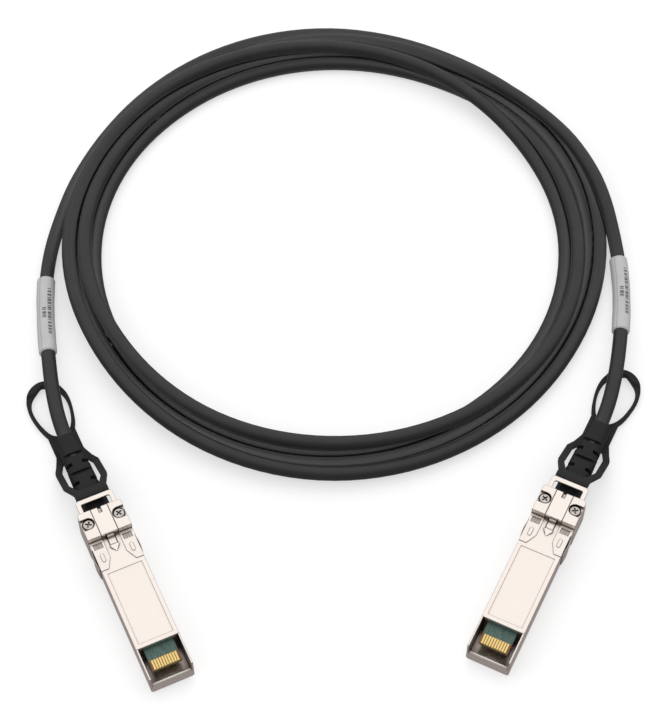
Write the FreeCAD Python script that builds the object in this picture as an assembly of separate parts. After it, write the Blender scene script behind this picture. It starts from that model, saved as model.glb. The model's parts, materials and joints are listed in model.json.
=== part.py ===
# A direct attach copper cable: a coiled twin-axial cable with a small form-factor
# pluggable plug on each end.  Millimetres, +Z up.  The cable lies on a floor at z = 0 with
# both plugs latch side up, and the origin is on the floor at the middle of the two plugs.
#
# One plug is modelled in its own frame: x across it, y from the contact end (negative) to
# the cable (positive) with y = 0 at the shoulder of the latch boss, z up from the floor.
import FreeCAD, Part
import math
import os

Vector = FreeCAD.Vector

# --- Plug body, to the pluggable-module drawing ---
body_width = 13.4
body_height = 8.5
nose_reach = 45.0          # latch shoulder to the contact end
opening_reach = 34.6       # latch shoulder to the start of the open nose
head_front = 3.1           # latch shoulder to the stop face of the head
head_length = 9.4
head_width = 13.9
head_rise = 2.3            # head above the latch face
head_drop = 1.5            # head below the body
cover_thickness = 1.4
side_wall = 0.9
nose_wall = 0.5            # side walls beside the card in the open nose
roof_wall = 1.2            # wall on the floor side
nose_sill = 3.9            # wall across the contact end, above the body's floor side
nose_sill_wall = 0.85
nose_floor = 1.7           # floor of the open nose behind that wall
sill_bevel = 0.45
body_chamfer = 0.6
head_corner = 0.8
bulkhead = 1.6             # wall between the body cavity and the cable clamp
label_recess_depth = 0.12
label_recess_margin = 1.3
label_recess_start = 8.4   # latch shoulder to the recess

# --- Paddle card and what is on it ---
card_reach = 41.8
card_width = 9.2
card_thickness = 1.0
card_drop = 2.25           # latch face to the card's upper face
card_length = 30.0
card_bevel = 0.25
card_ledge = 1.9           # width of the ledges that carry the card
pad_count = 10
pad_pitch = 0.8
pad_width = 0.56
pad_length = 3.1
pad_thickness = 0.05
pad_setback = 0.25
memory_chip_size = 3.0
memory_chip_height = 0.7
memory_chip_setback = 9.0  # its middle behind the nose opening
capacitor_length = 1.0
capacitor_width = 0.5
capacitor_height = 0.45

# --- Latch boss, slider and spring ---
boss_width = 2.6
boss_length = 2.5
boss_height = 0.45
cavity_depth = 0.55        # actuator cavity below the latch face
slider_gap = 0.15          # running gap round the slider
tine_width = 2.2
tine_proud = 0.2           # tine's top above the latch face
tine_tip_gap = 0.3
land_width = 5.2
land_front_gap = 0.4        # thin strip behind the stop face
land_notch_width = 1.1
land_notch_length = 2.0
strip_thickness = 0.6
strip_level = 1.0          # strip's top below the head's top
slider_travel = 2.2
loop_width = 11.8
loop_side_bar = 1.35
loop_end_bar = 1.6
loop_reach = 4.9           # loop past the head's rear face
loop_corner = 1.2
lug_thickness = 0.6
lug_setback = 1.3          # lug behind the stop face
spring_wire = 0.16
spring_height = 0.9
spring_width = 1.7
spring_waves = 5

# --- Cover screws ---
screw_spacing = 9.7
screw_setback = 5.2        # screw axis behind the stop face
screw_head_diameter = 3.3
screw_head_height = 0.9
screw_shank_diameter = 1.6
screw_length = 6.0
screw_recess_depth = 1.3
screw_recess_gap = 0.3     # recess round the screw head
screw_notch_step = 0.4     # notch to the side, above the recess's floor
cross_width = 0.45
cross_length = 2.0
cross_depth = 0.5

# --- Shielding collar ---
collar_sheet = 0.2
collar_band = 2.5          # band that wraps the body in front of the head
tongue_reach = 7.0         # tongues' front edge, from the latch shoulder
tongue_inner = 2.65        # tongues' inner edge from the middle
tongue_tip_inner = 4.4
tongue_bend = 3.5          # where the inner edge turns outwards
window_width = 1.3
window_length = 1.9
window_bar = 0.2           # sheet between two windows
window_middle = 1.2        # windows' middle behind the latch shoulder
dimple_width = 1.0
dimple_length = 2.9
dimple_height = 0.18
dimple_middle = 3.0
finger_count = 4
finger_gap = 0.4
finger_bulge = 0.35
finger_reach = 5.6

# --- Strain relief boot ---
cable_axis_height = 5.2
boot_flange_width = 8.0
boot_flange_height = 6.2
boot_root_width = 8.6
boot_root_height = 6.6
boot_end_width = 6.7
boot_end_height = 5.8
boot_reach = 30.5          # boot behind the head
boot_neck_width = 6.6
boot_neck_height = 5.2
boot_neck_length = 1.2
boot_flange_length = 1.2
boot_round = 2.2
slot_length = 1.2
slot_depth = 0.9
side_slot_depth = 2.0
slot_pitch = 6.8
slot_count = 3
slot_width_share = 0.86
last_slot_setback = 7.8
boot_gap = 0.1             # head's opening round the boot
cable_socket = 8.0

# --- Crimp ferrule and the pairs inside ---
ferrule_diameter = 6.0
ferrule_wall = 0.5
ferrule_length = 3.6
jacket_stub_gap = 0.02
pair_diameter = 1.5
pair_spacing = 2.4
pair_spread = 4.4
pair_land_length = 2.6     # level end of a pair over the card
pair_land_drop = 0.2
wire_diameter = 0.36
wire_pitch = 0.8
wire_tail = 2.6

# --- Pull tab ---
tab_sheet = 1.4
tab_floor_gap = 0.3
tab_edge_rise = 0.3        # tab's front plate above the loop
tab_front_width = 10.4
tab_band_width = 14.2
tab_strap_width = 9.0
tab_arm = 2.0              # width of the band's arms
tab_front_plate = 3.8
tab_corner = 2.0
tab_front_gap = 0.1        # tab behind the loop's end bar
tab_hook = 0.9             # tab's lip under the loop's end bar
tab_bend_length = 2.0      # where the band's slope runs out into the strap
tab_bend_rise = 0.15
band_front = 12.5          # band at full width behind the head, from here
band_rear = 21.0           # to here
band_end = 24.0            # where the band has come down to the floor
strap_start = 27.5         # band narrowed to the strap
ring_start = 34.0          # ring's near end behind the head
ring_rim = 1.05
grip_rim = 1.6             # ring's rim at its far end
grip_length = 3.2
grip_height = 2.1
# Half of the ring's outline from its near end: distance along it and half its width.
ring_half_outline = [(0.0, 3.4), (2.2, 4.8), (7.4, 6.3), (12.6, 6.8), (17.2, 5.8), (20.3, 3.0)]
ring_length = 21.2

# --- Cable, coil and where things lie, from the coil's centre ---
cable_diameter = 4.6
label_diameter = 5.5
label_length = 28.0
label_gap = 0.05
coil_outer_radius = 91.4
coil_ring_width = 16.1
coil_inner_radius = coil_outer_radius - coil_ring_width
coil_inner_centre = (0.2, 0.6)
coil_outer_centre = (0.9, 3.4)
coil_height = 9.2
coil_round = 3.8
plug_a_place = (-63.8, -115.4)
plug_a_turn = 24.6
plug_b_place = (65.5, -110.5)
plug_b_turn = -25.8
# Route of each leg after the straight stretch out of its boot, to where it joins the coil.
leg_a_route = [(-87.2, -58.5, 5.2), (-89.6, -44.6, 4.7), (-91.2, -30.4, 3.8), (-92.0, -16.2, 3.0),
               (-91.0, -2.0, 2.6), (-88.4, 12.0, 2.6), (-83.6, 25.2, 2.9)]
leg_b_route = [(90.3, -53.5, 5.2), (93.0, -39.2, 4.7), (94.6, -24.9, 3.8), (95.4, -10.4, 3.0),
               (94.4, 4.0, 2.6), (90.2, 17.8, 2.6), (82.6, 30.4, 2.9)]
leg_straight = 12.5        # straight stretch of the cable from its socket
label_a_start = 41.5       # along the leg from its socket
label_b_start = 46.0
arc_share = 0.45           # part of the shorter run that each bend takes

# --- Heights and places worked out from the sizes above ---
body_low = head_drop
latch_face = body_low + body_height
head_top = latch_face + head_rise
cover_low = latch_face - cover_thickness
head_rear = head_front + head_length
card_top = latch_face - card_drop
card_low = card_top - card_thickness
card_rear = card_length - card_reach
strip_top = head_top - strip_level
strip_low = strip_top - strip_thickness
channel_low = strip_low - slider_gap
cavity_floor = latch_face - cavity_depth
tine_low = cavity_floor + slider_gap
tine_top = latch_face + tine_proud
loop_rear = head_rear + loop_reach
cross_bar_front = head_rear - loop_end_bar - slider_gap
lug_front = head_front + lug_setback
boot_end = head_rear + boot_reach
clamp_front = head_rear - boot_neck_length - boot_flange_length - ferrule_length
cavity_rear = clamp_front - bulkhead
screw_y = head_front + screw_setback
cable_radius = cable_diameter / 2
through = 40.0             # longer than any wall, for cuts that go right through


def box(x0, x1, y0, y1, z0, z1):
    return Part.makeBox(x1 - x0, y1 - y0, z1 - z0, Vector(x0, y0, z0))


def centred_box(width, y0, y1, z0, z1):
    return box(-width / 2, width / 2, y0, y1, z0, z1)


def polygon_wire(points):
    corners = [Vector(*p) for p in points]
    return Part.makePolygon(corners + [corners[0]])


def plan_prism(outline, z0, z1):
    """A closed outline of (x, y) corners, raised from z0 to z1."""
    face = Part.Face(polygon_wire([(x, y, z0) for x, y in outline]))
    return face.extrude(Vector(0, 0, z1 - z0))


def side_prism(outline, width):
    """A closed outline of (y, z) corners, extruded across the plug."""
    face = Part.Face(polygon_wire([(-width / 2, y, z) for y, z in outline]))
    return face.extrude(Vector(width, 0, 0))


def cross_section(width, height, corner, y, z):
    """Wire of a rounded rectangle across the plug, centred on x = 0."""
    x1 = width / 2
    z1 = height / 2
    r = min(corner, 0.98 * x1, 0.98 * z1)
    k = r * (1 - math.sqrt(0.5))
    edges = []
    for sx, sz, first in ((1, 1, True), (-1, 1, False), (-1, -1, True), (1, -1, False)):
        upright = Vector(sx * x1, y, z + sz * (z1 - r))
        middle = Vector(sx * (x1 - k), y, z + sz * (z1 - k))
        level = Vector(sx * (x1 - r), y, z + sz * z1)
        ends = (upright, middle, level) if first else (level, middle, upright)
        if edges:
            edges.append(Part.makeLine(edges[-1].lastVertex().Point, ends[0]))
        edges.append(Part.Arc(*ends).toShape())
    edges.append(Part.makeLine(edges[-1].lastVertex().Point, edges[0].firstVertex().Point))
    return Part.Wire(edges)


def rod(radius, start, length, direction):
    return Part.makeCylinder(radius, length, Vector(*start), Vector(*direction))


def vertical_edges(shape, zone=None):
    """Straight edges along z, all of them or those whose middle passes zone(point)."""
    found = []
    for edge in shape.Edges:
        p, q = edge.Vertexes[0].Point, edge.Vertexes[-1].Point
        if abs(p.x - q.x) + abs(p.y - q.y) < 1e-6 and (zone is None or zone((p + q) / 2)):
            found.append(edge)
    return found


def lengthwise_edges(shape, zone):
    found = []
    for edge in shape.Edges:
        p, q = edge.Vertexes[0].Point, edge.Vertexes[-1].Point
        if abs(p.x - q.x) + abs(p.z - q.z) < 1e-6 and zone((p + q) / 2):
            found.append(edge)
    return found


def mirrored_pair(shape):
    return [shape, shape.mirror(Vector(0, 0, 0), Vector(1, 0, 0))]


# --- The die-cast shells ---
def boot_room():
    """Space in the head for the boot's neck and flange and for the ferrule."""
    flange_rear = head_rear - boot_neck_length
    neck = centred_box(boot_neck_width + 2 * boot_gap, flange_rear - boot_gap, head_rear + 1,
                       cable_axis_height - boot_neck_height / 2 - boot_gap,
                       cable_axis_height + boot_neck_height / 2 + boot_gap)
    flange = centred_box(boot_flange_width + 2 * boot_gap,
                         flange_rear - boot_flange_length - boot_gap, flange_rear + boot_gap,
                         cable_axis_height - boot_flange_height / 2 - boot_gap,
                         cable_axis_height + boot_flange_height / 2 + boot_gap)
    clamp = rod(ferrule_diameter / 2, (0, clamp_front, cable_axis_height), ferrule_length, (0, 1, 0))
    pairs = centred_box(pair_spacing + pair_diameter + 1.2, cavity_rear - 0.5, clamp_front + 0.5,
                        cable_axis_height - pair_diameter / 2 - 0.2,
                        cable_axis_height + pair_diameter / 2 + 0.4)
    return [neck, flange, clamp, pairs]


def base_shell():
    """The floor-side casting: roof, side walls, open nose and the lower head."""
    body = centred_box(body_width, -nose_reach, head_front + 1, body_low, latch_face)
    body = body.makeChamfer(body_chamfer, lengthwise_edges(body, lambda p: p.z < body_low + 0.1))
    head = centred_box(head_width, head_front, head_rear, 0, cover_low)
    head = head.makeFillet(head_corner, lengthwise_edges(head, lambda p: p.z < 0.1))
    shell = body.fuse(head)
    lid_seat = box(-through, through, -opening_reach, through, cover_low, through)
    inner = body_width / 2 - side_wall
    cavity = box(-inner, inner, -opening_reach - 1, cavity_rear, body_low + roof_wall, through)
    nose_inner = body_width / 2 - nose_wall
    floor = body_low + nose_floor
    sill = body_low + nose_sill
    tray = side_prism([(-opening_reach - 1, floor), (-nose_reach + nose_sill_wall, floor),
                       (-nose_reach + nose_sill_wall, sill), (-nose_reach + sill_bevel, sill),
                       (-nose_reach - 0.01, sill - sill_bevel), (-nose_reach - 0.01, latch_face + 1),
                       (-opening_reach - 1, latch_face + 1)], 2 * nose_inner)
    window = box(-nose_inner, nose_inner, -opening_reach - 1.01, -opening_reach + 0.8,
                 floor, latch_face + 1)
    shell = shell.cut([lid_seat, cavity, tray, window] + boot_room())
    ledge = box(card_width / 2 - card_ledge, inner, -opening_reach + 0.8, card_rear - 0.5,
                body_low + roof_wall, card_low)
    stop = box(card_width / 2 - card_ledge, inner, card_rear, card_rear + 1.0,
               body_low + roof_wall, card_top)
    shell = shell.fuse(mirrored_pair(ledge) + mirrored_pair(stop))
    holes = [rod(screw_shank_diameter / 2, (side * screw_spacing / 2, screw_y, 0), through, (0, 0, 1))
             for side in (-1, 1)]
    for hole in holes:
        hole.translate(Vector(0, 0, head_top - screw_recess_depth - screw_length))
    return shell.cut(holes).removeSplitter()


def slider_room():
    """Channel in the cover for the slider over its whole travel, and the spring's pocket."""
    land = centred_box(land_width + 2 * slider_gap, head_front - 1, head_rear + 1, channel_low, through)
    tine = centred_box(boss_width, 0, lug_front + slider_travel + 1, cavity_floor, through)
    cross_bar = centred_box(loop_width + 2 * slider_gap, cross_bar_front - slider_gap, head_rear + 1,
                            channel_low, strip_top + slider_gap)
    pocket = centred_box(spring_width + 2 * slider_gap, lug_front - slider_gap,
                         cross_bar_front, cavity_floor, channel_low + 0.1)
    return [land, tine, cross_bar, pocket]


def screw_recess(side):
    radius = screw_head_diameter / 2 + screw_recess_gap
    x = side * screw_spacing / 2
    floor = head_top - screw_recess_depth
    well = rod(radius, (x, screw_y, floor), through, (0, 0, 1))
    outer = side * (head_width / 2 + 1)
    notch = box(min(x, outer), max(x, outer), screw_y - radius, screw_y + radius,
                floor + screw_notch_step, through)
    hole = rod(screw_shank_diameter / 2, (x, screw_y, 0), through, (0, 0, 1))
    return [well, notch, hole]


def latch_boss():
    """Arrow-shaped boss: a square shoulder to the cable, ramps down to its tip."""
    half = boss_width / 2
    top = latch_face + boss_height
    low = latch_face - 0.2
    block = plan_prism([(-half, 0), (-half, -0.7), (0, -boss_length), (half, -0.7), (half, 0)], low, top)
    ramp = side_prism([(-0.5, top), (-boss_length - 0.2, latch_face + 0.02),
                       (-boss_length - 0.2, top + 0.2), (-0.5, top + 0.2)], boss_width + 1)
    return block.cut(ramp)


def cover_shell():
    """The latch-side casting: lid of the body, latch boss and the upper head."""
    lid = centred_box(body_width, -opening_reach, head_front + 1, cover_low, latch_face)
    head = centred_box(head_width, head_front, head_rear, cover_low, head_top)
    head = head.makeFillet(head_corner, vertical_edges(head, lambda p: p.y > head_rear - 0.1))
    cover = lid.fuse(head)
    cover = cover.fuse(latch_boss())
    recess = box(-body_width / 2 + label_recess_margin, body_width / 2 - label_recess_margin,
                 -opening_reach + label_recess_margin, -label_recess_start,
                 latch_face - label_recess_depth, through)
    cuts = [recess] + slider_room() + boot_room() + screw_recess(-1) + screw_recess(1)
    return cover.cut(cuts).removeSplitter()


def cover_screws():
    screws = []
    seat = head_top - screw_recess_depth
    for side in (-1, 1):
        x = side * screw_spacing / 2
        head = rod(screw_head_diameter / 2, (x, screw_y, seat), screw_head_height, (0, 0, 1))
        head = head.makeFillet(0.4, [e for e in head.Edges
                                     if isinstance(e.Curve, Part.Circle) and e.Vertexes[0].Z > seat + 0.1])
        shank = rod(screw_shank_diameter / 2 - 0.05, (x, screw_y, seat - screw_length + 0.2),
                    screw_length, (0, 0, 1))
        top = seat + screw_head_height
        blades = [box(x - cross_length / 2, x + cross_length / 2, screw_y - cross_width / 2,
                      screw_y + cross_width / 2, top - cross_depth, top + 1),
                  box(x - cross_width / 2, x + cross_width / 2, screw_y - cross_length / 2,
                      screw_y + cross_length / 2, top - cross_depth, top + 1)]
        for blade in blades:
            blade.rotate(Vector(x, screw_y, 0), Vector(0, 0, 1), side * 30)
        screws.append(head.fuse(shank).cut(blades).removeSplitter())
    return Part.makeCompound(screws)


# --- The shielding collar ---
def collar_tongue():
    """Right-hand tongue on the latch face, with a raised oblong dimple."""
    outline = [(tongue_inner, collar_start()), (tongue_inner, -tongue_bend),
               (tongue_tip_inner, -tongue_reach), (body_width / 2, -tongue_reach),
               (body_width / 2, collar_start())]
    tongue = plan_prism(outline, latch_face, latch_face + collar_sheet)
    middle = (tongue_inner + body_width / 2) / 2
    straight = dimple_length - dimple_width
    dimple_low = latch_face + collar_sheet
    ends = [Part.makeCylinder(dimple_width / 2, dimple_height,
                              Vector(middle, -dimple_middle + k * straight / 2, dimple_low))
            for k in (-1, 1)]
    bridge = box(middle - dimple_width / 2, middle + dimple_width / 2,
                 -dimple_middle - straight / 2, -dimple_middle + straight / 2,
                 dimple_low, dimple_low + dimple_height)
    return tongue.fuse(ends + [bridge])


def collar_start():
    return head_front - 0.05


def spring_finger(low, high):
    """One finger on the right-hand side wall: a strip that bows outwards between its ends."""
    x0 = body_width / 2
    y0 = collar_start() - collar_band + 0.3
    y1 = -finger_reach
    middle = (y0 + y1) / 2
    outer = Part.Arc(Vector(x0 + collar_sheet, y0, low), Vector(x0 + collar_sheet + finger_bulge, middle, low),
                     Vector(x0 + collar_sheet, y1, low)).toShape()
    inner = Part.Arc(Vector(x0, y1, low), Vector(x0 + finger_bulge, middle, low),
                     Vector(x0, y0, low)).toShape()
    ends = [Part.makeLine(Vector(x0 + collar_sheet, y1, low), Vector(x0, y1, low)),
            Part.makeLine(Vector(x0, y0, low), Vector(x0 + collar_sheet, y0, low))]
    face = Part.Face(Part.Wire([outer, ends[0], inner, ends[1]]))
    return face.extrude(Vector(0, 0, high - low))


def emi_collar():
    start = collar_start()
    low = body_low - collar_sheet
    high = latch_face + collar_sheet
    outer = centred_box(body_width + 2 * collar_sheet, start - collar_band, start, low, high)
    core = centred_box(body_width, start - collar_band - 1, start + 1, body_low, latch_face)
    gap = centred_box(2 * tongue_inner, start - collar_band - 1, start + 1, latch_face - 0.1, through)
    corner_cut = body_chamfer
    lower = lengthwise_edges(core, lambda p: p.z < body_low + 0.1)
    core = core.makeChamfer(corner_cut, lower)
    outer = outer.makeChamfer(corner_cut, lengthwise_edges(outer, lambda p: p.z < low + 0.1))
    band = outer.cut([core, gap])
    usable = body_height - 2 * body_chamfer - finger_gap
    pitch = usable / finger_count
    fingers = []
    for i in range(finger_count):
        z = body_low + body_chamfer + finger_gap + i * pitch
        fingers += mirrored_pair(spring_finger(z, z + pitch - finger_gap))
    collar = band.fuse(mirrored_pair(collar_tongue()) + fingers)
    middle = (tongue_inner + body_width / 2) / 2
    half_step = (window_width + window_bar) / 2
    windows = []
    for x in (middle - half_step, middle + half_step):
        windows += mirrored_pair(box(x - window_width / 2, x + window_width / 2,
                                     window_middle - window_length / 2,
                                     window_middle + window_length / 2, latch_face - 0.1, through))
    return collar.cut(windows).removeSplitter()


# --- Slider, spring and pull tab: what moves when the tab is pulled ---
def latch_slider():
    half = loop_width / 2
    loop = box(-half, half, cross_bar_front, loop_rear, strip_low, strip_top)
    loop = loop.makeFillet(loop_corner, vertical_edges(loop, lambda p: p.y > loop_rear - 0.1))
    opening = box(-half + loop_side_bar, half - loop_side_bar, cross_bar_front + loop_end_bar,
                  loop_rear - loop_end_bar, strip_low - 1, strip_top + 1)
    opening = opening.makeFillet(0.5, vertical_edges(opening))
    loop = loop.cut(opening)
    strip = centred_box(land_width, head_front + land_front_gap, cross_bar_front + 0.5, strip_low, strip_top)
    land = centred_box(land_width, head_front + 0.05, head_rear - 0.05, strip_top - 0.01, head_top - 0.05)
    notch = centred_box(land_notch_width, head_rear - land_notch_length, head_rear + 1,
                        strip_top, head_top + 1)
    land = land.cut(notch)
    neck = centred_box(tine_width, head_front - 0.6, head_front + 0.9, tine_low, strip_top)
    tine = side_prism([(head_front, tine_low), (head_front, tine_top), (tine_tip_gap + 0.9, tine_top),
                       (tine_tip_gap, tine_low + 0.25), (tine_tip_gap, tine_low)], tine_width)
    lug = centred_box(spring_width, lug_front, lug_front + lug_thickness, tine_low, strip_low + 0.01)
    return loop.fuse([strip, land, neck, tine, lug]).removeSplitter()


def return_spring():
    """Flat spring of sheet bent to and fro between the slider's lug and the pocket's end."""
    start = lug_front + lug_thickness + 0.02
    end = cross_bar_front - 0.02
    pitch = (end - start) / spring_waves
    half = spring_width / 2
    path = [(half, start)]
    for i in range(spring_waves):
        y = start + i * pitch
        path += [(half, y + pitch / 2), (-half, y + pitch / 2), (-half, y + pitch), (half, y + pitch)]
    path.pop()
    strips = []
    for (x0, y0), (x1, y1) in zip(path, path[1:]):
        w = spring_wire / 2
        strips.append(box(min(x0, x1) - w, max(x0, x1) + w, max(min(y0, y1) - w, start),
                          min(max(y0, y1) + w, end), tine_low, tine_low + spring_height))
    return strips[0].fuse(strips[1:]).removeSplitter()


def ring_prism(rim, far_rim, z0, z1):
    """Prism of the finger ring's outline, moved in by a rim that grows to far_rim at its far end."""
    side = []
    for along, half in ring_half_outline:
        share = along / ring_length
        inset = rim + (far_rim - rim) * share ** 3
        side.append((half - inset, rim + along * (ring_length - rim - far_rim) / ring_length))
    outline = side + [(0, ring_length - far_rim)] + [(-x, y) for x, y in reversed(side)]
    curve = Part.BSplineCurve()
    near = head_rear + ring_start
    curve.interpolate([Vector(x, near + y, z0) for x, y in outline], True)
    return Part.Face(Part.Wire([curve.toShape()])).extrude(Vector(0, 0, z1 - z0))


def pull_tab():
    """One moulding: hook behind the loop, sloping band round the boot, strap and finger ring."""
    front = loop_rear + tab_front_gap
    low = tab_floor_gap
    top_face = strip_top + tab_edge_rise
    band_near = head_rear + band_front
    band_far = head_rear + band_rear
    rear = head_rear + band_end
    strap_near = head_rear + strap_start
    ring_near = head_rear + ring_start
    ring_far = ring_near + ring_length
    hook_front = loop_rear - tab_hook
    plate_rear = front + tab_front_plate
    half_front = tab_front_width / 2
    half_band = tab_band_width / 2
    half_strap = tab_strap_width / 2
    strap_end = ring_near + ring_rim + 1.0
    right_side = [(half_front, hook_front), (half_front, plate_rear - 1.0), (half_band, band_near),
                  (half_band, band_far), (half_strap, strap_near), (half_strap, strap_end)]
    plan = plan_prism(right_side + [(-x, y) for x, y in reversed(right_side)], -1, head_top)
    plan = plan.makeFillet(tab_corner, vertical_edges(plan, lambda p: plate_rear < p.y < strap_end - 1))
    right_hole = [(half_front - tab_arm, plate_rear), (half_band - tab_arm, band_near),
                  (half_band - tab_arm, band_far - 0.5), (half_strap - 1.0, rear + 0.5)]
    hole = plan_prism(right_hole + [(-x, y) for x, y in reversed(right_hole)], -2, head_top + 1)
    plan = plan.cut(hole.makeFillet(tab_corner / 2, vertical_edges(hole)))
    plan = plan.fuse(ring_prism(0, 0, -1, head_top)).cut(ring_prism(ring_rim, grip_rim, -2, head_top + 1))
    drop_start = front + 1.2
    grip_start = ring_far - grip_length
    slab = [(hook_front, strip_low - 0.1 - tab_sheet * 0.6), (hook_front, strip_low - 0.05),
            (front, strip_low - 0.05), (front, top_face), (drop_start, top_face),
            (rear, low + tab_sheet + tab_bend_rise), (rear + tab_bend_length, low + tab_sheet),
            (grip_start - 1.0, low + tab_sheet), (grip_start, low + grip_height),
            (ring_far + 1, low + grip_height), (ring_far + 1, low), (rear + 0.2, low),
            (drop_start, top_face - tab_sheet)]
    return plan.common(side_prism(slab, 2 * tab_band_width)).removeSplitter()


# --- Inside the plug ---
def paddle_card():
    front = -card_reach
    rear = front + card_length
    outline = [(front, card_low + card_bevel), (front, card_top - card_bevel),
               (front + card_bevel, card_top), (rear, card_top), (rear, card_low),
               (front + card_bevel, card_low)]
    return side_prism(outline, card_width)


def contact_pads():
    pads = []
    y0 = -card_reach + pad_setback
    for i in range(pad_count):
        x = (i - (pad_count - 1) / 2) * pad_pitch
        for z in (card_top, card_low - pad_thickness):
            pads.append(box(x - pad_width / 2, x + pad_width / 2, y0, y0 + pad_length, z, z + pad_thickness))
    return Part.makeCompound(pads)


def card_components():
    """Memory chip and coupling capacitors on the card's upper face."""
    y = -opening_reach + memory_chip_setback
    half = memory_chip_size / 2
    parts = [box(-half, half, y - half, y + half, card_top, card_top + memory_chip_height)]
    for side in (-1, 1):
        for i in range(3):
            x = side * (half + 1.2)
            y0 = y - half + i * 1.2
            parts.append(box(x - capacitor_length / 2, x + capacitor_length / 2, y0, y0 + capacitor_width,
                             card_top, card_top + capacitor_height))
    return Part.makeCompound(parts)


def tube_path(points):
    """Wire of straight runs joined by tangent arcs, and the radii of its arcs."""
    corners = [Vector(*p) for p in points]
    edges = []
    radii = []
    at = corners[0]
    for before, corner, after in zip(corners, corners[1:], corners[2:]):
        back = (before - corner).normalize()
        on = (after - corner).normalize()
        turn = math.pi - back.getAngle(on)
        reach = arc_share * min((before - corner).Length, (after - corner).Length)
        radius = reach / math.tan(turn / 2)
        start = corner + back * reach
        end = corner + on * reach
        inward = (back + on).normalize()
        middle = corner + inward * (radius / math.cos(turn / 2) - radius)
        edges.append(Part.LineSegment(at, start).toShape())
        edges.append(Part.Arc(start, middle, end).toShape())
        radii.append(radius)
        at = end
    edges.append(Part.LineSegment(at, corners[-1]).toShape())
    return Part.Wire(edges), radii


def sweep(wire, radius):
    """Solid rod of a radius along a wire."""
    first = wire.OrderedEdges[0]
    start = first.valueAt(first.FirstParameter)
    along = first.tangentAt(first.FirstParameter)
    if (wire.OrderedEdges[0].lastVertex().Point - start).Length < 1e-9:
        start = first.valueAt(first.LastParameter)
        along = first.tangentAt(first.LastParameter)
    section = Part.Wire([Part.Circle(start, along, radius).toShape()])
    return wire.makePipeShell([section], True, False)


def pair_route(side):
    end_y = card_rear + 1.6
    return [(side * pair_spacing / 2, clamp_front + 0.4, cable_axis_height),
            (side * pair_spacing / 2, cavity_rear - 1.5, cable_axis_height),
            (side * pair_spread / 2, end_y + pair_land_length, card_top - pair_land_drop),
            (side * pair_spread / 2, end_y, card_top - pair_land_drop / 2)]


def signal_pairs():
    rods = [sweep(tube_path(pair_route(side))[0], pair_diameter / 2) for side in (-1, 1)]
    return Part.makeCompound(rods)


def conductors():
    """Bare ends of the pairs, laid on the card's upper face."""
    wires = []
    start = card_rear + 1.6
    radius = wire_diameter / 2
    for side in (-1, 1):
        for k in (-1, 1):
            x = side * pair_spread / 2 + k * wire_pitch / 2
            wires.append(rod(radius, (x, start - wire_tail - 1.6, card_top + radius + 0.01),
                             wire_tail + 1.6, (0, 1, 0)))
    return Part.makeCompound(wires)


def crimp_ferrule():
    outer = rod(ferrule_diameter / 2 - 0.02, (0, clamp_front, cable_axis_height), ferrule_length, (0, 1, 0))
    inner = rod(ferrule_diameter / 2 - ferrule_wall, (0, clamp_front - 1, cable_axis_height),
                ferrule_length + 2, (0, 1, 0))
    return outer.cut(inner)


# --- Boot ---
def strain_boot():
    """Moulded boot: flange and neck held by the head, then a slotted, tapering tail."""
    z = cable_axis_height
    flange_rear = head_rear - boot_neck_length
    flange_front = flange_rear - boot_flange_length
    flange = centred_box(boot_flange_width, flange_front, flange_rear, z - boot_flange_height / 2,
                         z + boot_flange_height / 2)
    neck = centred_box(boot_neck_width, flange_rear - 0.1, head_rear + 0.3, z - boot_neck_height / 2,
                       z + boot_neck_height / 2)
    jacket = rod(ferrule_diameter / 2 - ferrule_wall - jacket_stub_gap, (0, clamp_front + 0.4, z),
                 flange_front - clamp_front, (0, 1, 0))
    root = cross_section(boot_root_width, boot_root_height, boot_round, head_rear + 0.2, z)
    tip = cross_section(boot_end_width, boot_end_height, boot_round, boot_end, z)
    tail = Part.makeLoft([root, tip], True, True)
    cuts = []
    for i in range(slot_count):
        y = boot_end - last_slot_setback - i * slot_pitch
        share = (y - head_rear) / boot_reach
        width = boot_root_width + (boot_end_width - boot_root_width) * share
        height = boot_root_height + (boot_end_height - boot_root_height) * share
        slot = width * slot_width_share
        for face in (-1, 1):
            edge = z + face * height / 2
            cuts.append(centred_box(slot, y - slot_length / 2, y + slot_length / 2,
                                    edge - slot_depth, edge + slot_depth))
        if i + 1 < slot_count:
            y -= slot_pitch / 2
            for side in (-1, 1):
                edge = side * width / 2
                cuts.append(box(edge - side_slot_depth, edge + side_slot_depth, y - slot_length / 2,
                                y + slot_length / 2, z - height / 2 - 1, z + height / 2 + 1))
    socket = rod(cable_radius, (0, boot_end - cable_socket, z), cable_socket + 1, (0, 1, 0))
    return tail.cut(cuts + [socket]).fuse([flange, neck, jacket]).removeSplitter()


# --- Cable ---
def to_floor(point, place, turn):
    """A point of the plug's frame in the coil's frame."""
    a = math.radians(turn)
    x, y, z = point
    return (place[0] + x * math.cos(a) - y * math.sin(a), place[1] + x * math.sin(a) + y * math.cos(a), z)


def leg_points(place, turn, route):
    start = boot_end - cable_socket
    straight = [to_floor((0, y, cable_axis_height), place, turn) for y in (start, start + leg_straight)]
    return straight + route


def stretch(wire, start, length):
    """The part of a wire from a distance along it, for a length."""
    edges = []
    passed = 0.0
    for edge in wire.OrderedEdges:
        first = max(start - passed, 0.0)
        last = min(start + length - passed, edge.Length)
        if last - first > 1e-6:
            a = edge.getParameterByLength(first)
            b = edge.getParameterByLength(last)
            edges.append(edge.Curve.toShape(min(a, b), max(a, b)))
        passed += edge.Length
    return Part.Wire(edges)


def label_sleeve(wire, start):
    along = stretch(wire, start, label_length)
    return sweep(along, label_diameter / 2).cut(sweep(along, cable_radius + label_gap))


def coil_disc(radius, centre, z0, z1):
    return Part.makeCylinder(radius, z1 - z0, Vector(centre[0], centre[1], z0))


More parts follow.
